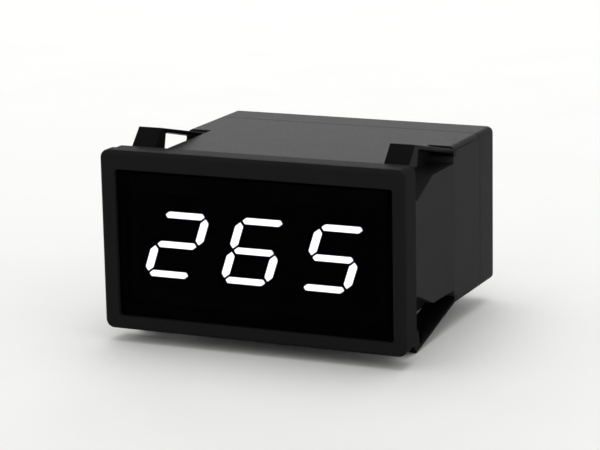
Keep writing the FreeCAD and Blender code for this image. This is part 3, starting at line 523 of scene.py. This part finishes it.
# screws: a turned pan head with a pressed cross recess and a rolled thread
coverScrew = {"headRadius": 2.8, "headHeight": 2.1, "shankRadius": 1.45, "length": 20.0, "pitch": 1.0,
              "recess": 1.6, "recessWidth": 0.75, "recessDeep": 1.2, "columns": 2, "rows": 2}
terminalScrew = {"headRadius": 2.6, "headHeight": 1.9, "shankRadius": 1.45, "length": 7.8, "pitch": 0.6,
                 "recess": 1.5, "recessWidth": 0.7, "recessDeep": 1.05, "columns": 7, "rows": 1}
# what the screws share: the head's outline in parts of its radius and height, the radii of the thread and the
# tip in parts of the shank's, the thread's places in parts of the pitch, and the recess's mouth and floor
screwForm = {"sides": 28, "sharpDegrees": 32,
             "head": ((0.45, 0.985), (0.7, 0.93), (0.88, 0.78), (0.97, 0.5), (1.0, 0.22), (1.0, 0.05),
                      (0.97, 0.0)),
             "threadFrom": 0.3, "thread": ((0.86, 0.1), (0.99, 0.5)), "tipFrom": 0.4, "tip": (0.84, 0.6),
             "mouth": 1.25, "mouthAbove": 0.5, "floor": 0.62}


def turnedBlank(name, look):
    # lathe profile from the crown to the tip, seat at y 0, head towards +y
    high, shank, length, sides = look["headHeight"], look["shankRadius"], look["length"], screwForm["sides"]
    profile = [(look["headRadius"] * across, high * up) for across, up in screwForm["head"]] + [(shank, 0.0)]
    for i in range(int(length / look["pitch"]) - 1):
        low = -screwForm["threadFrom"] - i * look["pitch"]
        profile += [(shank * part, low - down * look["pitch"]) for part, down in screwForm["thread"]]
    shoulder, point = screwForm["tip"]
    profile += [(shank * shoulder, -length + screwForm["tipFrom"]), (shank * point, -length)]
    work = bmesh.new()
    top = work.verts.new((0, high * mm, 0))
    tip = work.verts.new((0, -length * mm, 0))
    loops = []
    for radius, y in profile:
        turns = [2 * math.pi * k / sides for k in range(sides)]
        loops.append([work.verts.new((radius * math.cos(turn) * mm, y * mm, radius * math.sin(turn) * mm))
                      for turn in turns])
    for near, far in zip(loops, loops[1:]):
        for k in range(sides):
            work.faces.new((near[k], near[(k + 1) % sides], far[(k + 1) % sides], far[k]))
    for k in range(sides):
        work.faces.new((top, loops[0][(k + 1) % sides], loops[0][k]))
        work.faces.new((tip, loops[-1][k], loops[-1][(k + 1) % sides]))
    bmesh.ops.recalc_face_normals(work, faces=work.faces)
    return intoMesh(name, work)


def crossPunch(name, look):
    # the recess is a cross that narrows towards its floor
    work = bmesh.new()
    wide, reach, high = look["recessWidth"] / 2, look["recess"], look["headHeight"]
    outline = [(reach, wide), (wide, wide), (wide, reach), (-wide, reach), (-wide, wide), (-reach, wide)]
    outline += [(-x, -z) for x, z in outline]
    mouth, base = [[work.verts.new((x * scale * mm, y * mm, z * scale * mm)) for x, z in outline]
                   for scale, y in ((screwForm["mouth"], high + screwForm["mouthAbove"]),
                                    (screwForm["floor"], high - look["recessDeep"]))]
    for k in range(len(outline)):
        after = (k + 1) % len(outline)
        work.faces.new((mouth[k], mouth[after], base[after], base[k]))
    work.faces.new(mouth)
    work.faces.new(list(reversed(base)))
    bmesh.ops.recalc_face_normals(work, faces=work.faces)
    return intoMesh(name, work)


def screwMesh(name, look):
    # the turned blank with its recess pressed in, smooth but for its sharp edges
    blank = linked(name, turnedBlank(name, look))
    punch = linked(name + "Cross", crossPunch(name + "Cross", look))
    press = blank.modifiers.new("press", "BOOLEAN")
    press.operation = "DIFFERENCE"
    press.solver = "EXACT"
    press.object = punch
    mesh = plainMesh(name, blank)
    bpy.data.objects.remove(punch)
    mesh.shade_smooth()
    mesh.set_sharp_from_angle(angle=math.radians(screwForm["sharpDegrees"]))
    return mesh


def rowsTree():
    # Geometry Nodes: sets one piece on a grid of points across the rear face
    tree = bpy.data.node_groups.new("setInRows", "GeometryNodeTree")
    sockets = (("Piece", "Geometry"), ("Columns", "Int"), ("Rows", "Int"), ("Width", "Float"),
               ("Height", "Float"), ("Centre", "Vector"), ("Finish", "Material"))
    for name, kind in sockets:
        tree.interface.new_socket(name, in_out="INPUT", socket_type="NodeSocket" + kind)
    tree.interface.new_socket("Rows set", in_out="OUTPUT", socket_type="NodeSocketGeometry")
    given = addNode(tree, "NodeGroupInput").outputs
    points = addNode(tree, "GeometryNodeMeshGrid", {
        "Size X": given["Width"], "Size Y": given["Height"],
        "Vertices X": given["Columns"], "Vertices Y": given["Rows"]})
    upright = addNode(tree, "GeometryNodeTransform", {
        "Geometry": points.outputs["Mesh"], "Translation": given["Centre"], "Rotation": (math.pi / 2, 0, 0)})
    copies = addNode(tree, "GeometryNodeInstanceOnPoints", {
        "Points": upright.outputs[0], "Instance": given["Piece"]})
    solid = addNode(tree, "GeometryNodeRealizeInstances", {"Geometry": copies.outputs[0]})
    finished = addNode(tree, "GeometryNodeSetMaterial", {
        "Geometry": solid.outputs[0], "Material": given["Finish"]})
    addNode(tree, "NodeGroupOutput", {"Rows set": finished.outputs[0]})
    return tree


rowsOfPieces = rowsTree()


def setInRows(name, mesh, node, look, radius, seatY):
    # one piece of this radius at each place that the node fills, seated at this y
    low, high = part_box(node)
    width = high[0] - low[0] - 2 * radius * mm
    height = high[2] - low[2] - 2 * radius * mm if look["rows"] > 1 else 0.0
    centre = ((low[0] + high[0]) / 2, seatY, (low[2] + high[2]) / 2)
    values = {"Columns": look["columns"], "Rows": look["rows"], "Width": width, "Height": height,
              "Centre": centre, "Finish": zincSteel}
    holder = linked(name + "One", mesh)
    rows = holder.modifiers.new("rows", "NODES")
    rows.node_group = rowsOfPieces
    sockets = rowsOfPieces.interface.items_tree
    keys = {item.name: item.identifier for item in sockets if item.in_out == "INPUT"}
    for label, value in values.items():
        rows[keys[label]] = value
    result = plainMesh(name, holder)
    asPiece(name, result, zincSteel, "case", [node])
    print(name, "faces", len(result.polygons))


for node, name, look in (("cover_screws", "coverScrews", coverScrew),
                         ("terminal_screws", "terminalScrews", terminalScrew)):
    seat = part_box(node)[1][1] - look["headHeight"] * mm
    setInRows(name, screwMesh(name + "One", look), node, look, look["headRadius"], seat)

# clamp plates: pressed squares with eased edges, one below each terminal screw
clamp = {"side": 5.4, "thick": 0.8, "corner": 0.6, "hole": 1.55, "holeRound": 1.5, "easeIn": 0.1,
         "easeUp": 0.15, "columns": 7, "rows": 1}
half = clamp["side"] / 2
top = clamp["thick"]
hole = (0, 0, clamp["hole"], clamp["hole"], clamp["holeRound"])
square = (0, 0, half, half, clamp["corner"])
eased = (0, 0, half - clamp["easeIn"], half - clamp["easeIn"], clamp["corner"])
clampRings = [hole + (0.0,), eased + (0.0,), square + (clamp["easeUp"],), square + (top - clamp["easeUp"],),
              eased + (top,), hole + (top,)]
clampMesh = softened("clampOne", loftRings(clampRings, True), ringEdge)
setInRows("clampPlates", clampMesh, "clamp_plates", clamp, half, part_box("clamp_plates")[0][1])
print("screws and clamps set")


# floor: matt pale paper just under the lowest point, with a faint cloud of fibres
paper = {"z": -30.8, "half": 3.0, "dark": "#f4f4f2", "light": "#f8f8f6", "cloudMm": 50.0}
half = paper["half"]
floorMesh = bpy.data.meshes.new("floor")
corners = [(-half, -half, 0), (half, -half, 0), (half, half, 0), (-half, half, 0)]
floorMesh.from_pydata(corners, [], [(0, 1, 2, 3)])
floor = linked("floor", floorMesh)
floor.location.z = paper["z"] * mm
floorPaper, tree, shader, where = startMaterial("palePaper", {"Roughness": 0.9, "Specular IOR Level": 0.1})
fibre = addNode(tree, "ShaderNodeTexNoise", {"Vector": where, "Scale": 1 / paper["cloudMm"], "Detail": 2.0})
tint = addNode(tree, "ShaderNodeMix", {
    0: fibre.outputs["Fac"], 6: fromHex(paper["dark"]), 7: fromHex(paper["light"])}, data_type="RGBA")
tree.links.new(tint.outputs[2], shader.inputs["Base Color"])
floorMesh.materials.append(floorPaper)

# world: plain white to the camera, in gloss and through glass, and weaker as a light on the object
daylight = {"colour": "#ffffff", "asLight": 0.55, "asSeen": 1.0}
world = bpy.data.worlds.new("studio")
world.use_nodes = True
bpy.context.scene.world = world
tree = world.node_tree
tree.nodes.clear()
path = addNode(tree, "ShaderNodeLightPath")
seen = addNode(tree, "ShaderNodeMath", {
    0: path.outputs["Is Camera Ray"], 1: path.outputs["Is Glossy Ray"]}, operation="MAXIMUM")
seen = addNode(tree, "ShaderNodeMath", {
    0: seen.outputs[0], 1: path.outputs["Is Transmission Ray"]}, operation="MAXIMUM")
level = addNode(tree, "ShaderNodeMapRange", {
    "Value": seen.outputs[0], "To Min": daylight["asLight"], "To Max": daylight["asSeen"]})
sky = addNode(tree, "ShaderNodeBackground", {
    "Color": fromHex(daylight["colour"]), "Strength": level.outputs[0]})
addNode(tree, "ShaderNodeOutputWorld", {"Surface": sky.outputs[0]})

# three soft boxes, in watts and metres, turned towards the case
lampAim = Vector((0, 0.03, 0))
lamps = {"overheadSoftbox": {"watts": 11.0, "size": 1.4, "place": (-0.1, 0.25, 1.5)},
         "rightFill": {"watts": 1.5, "size": 1.0, "place": (1.2, -0.5, 0.6)},
         "rearSoftbox": {"watts": 10.0, "size": 1.2, "place": (-0.8, 1.8, 0.7)}}
for name, look in lamps.items():
    lamp = bpy.data.lights.new(name, "AREA")
    lamp.energy = look["watts"]
    lamp.size = look["size"]
    lamp.color = (1, 1, 1)
    holder = linked(name, lamp)
    holder.location = look["place"]
    holder.rotation_euler = (lampAim - Vector(look["place"])).to_track_quat("-Z", "Y").to_euler()

# the camera stands where the photo's edges put it, place in millimetres and turns in degrees
shot = {"place": (296.08, -630.15, 166.88), "azimuth": 24.3, "elevation": 13.048, "roll": -1.112,
        "pixelsFocal": 2462.7, "imageWidth": 600, "sensor": 36.0, "nearest": 0.05, "farthest": 20.0}
camera = bpy.data.cameras.new("camera")
camera.sensor_width = shot["sensor"]
camera.lens = shot["pixelsFocal"] * shot["sensor"] / shot["imageWidth"]
camera.clip_start = shot["nearest"]
camera.clip_end = shot["farthest"]
eye = linked("camera", camera)
azimuth, elevation, roll = (math.radians(shot[turn]) for turn in ("azimuth", "elevation", "roll"))
reach = math.cos(elevation)
back = Vector((math.sin(azimuth) * reach, -math.cos(azimuth) * reach, math.sin(elevation)))
right = (-back).cross(Vector((0, 0, 1))).normalized()
up = right.cross(-back)
rightRolled = math.cos(roll) * right + math.sin(roll) * up
upRolled = math.cos(roll) * up - math.sin(roll) * right
turn = Matrix((rightRolled, upRolled, back)).transposed().to_4x4()
eye.matrix_world = Matrix.Translation(Vector(shot["place"]) * mm) @ turn
bpy.context.scene.camera = eye
bpy.context.scene.view_settings.view_transform = "Standard"
print("floor, light and camera set")
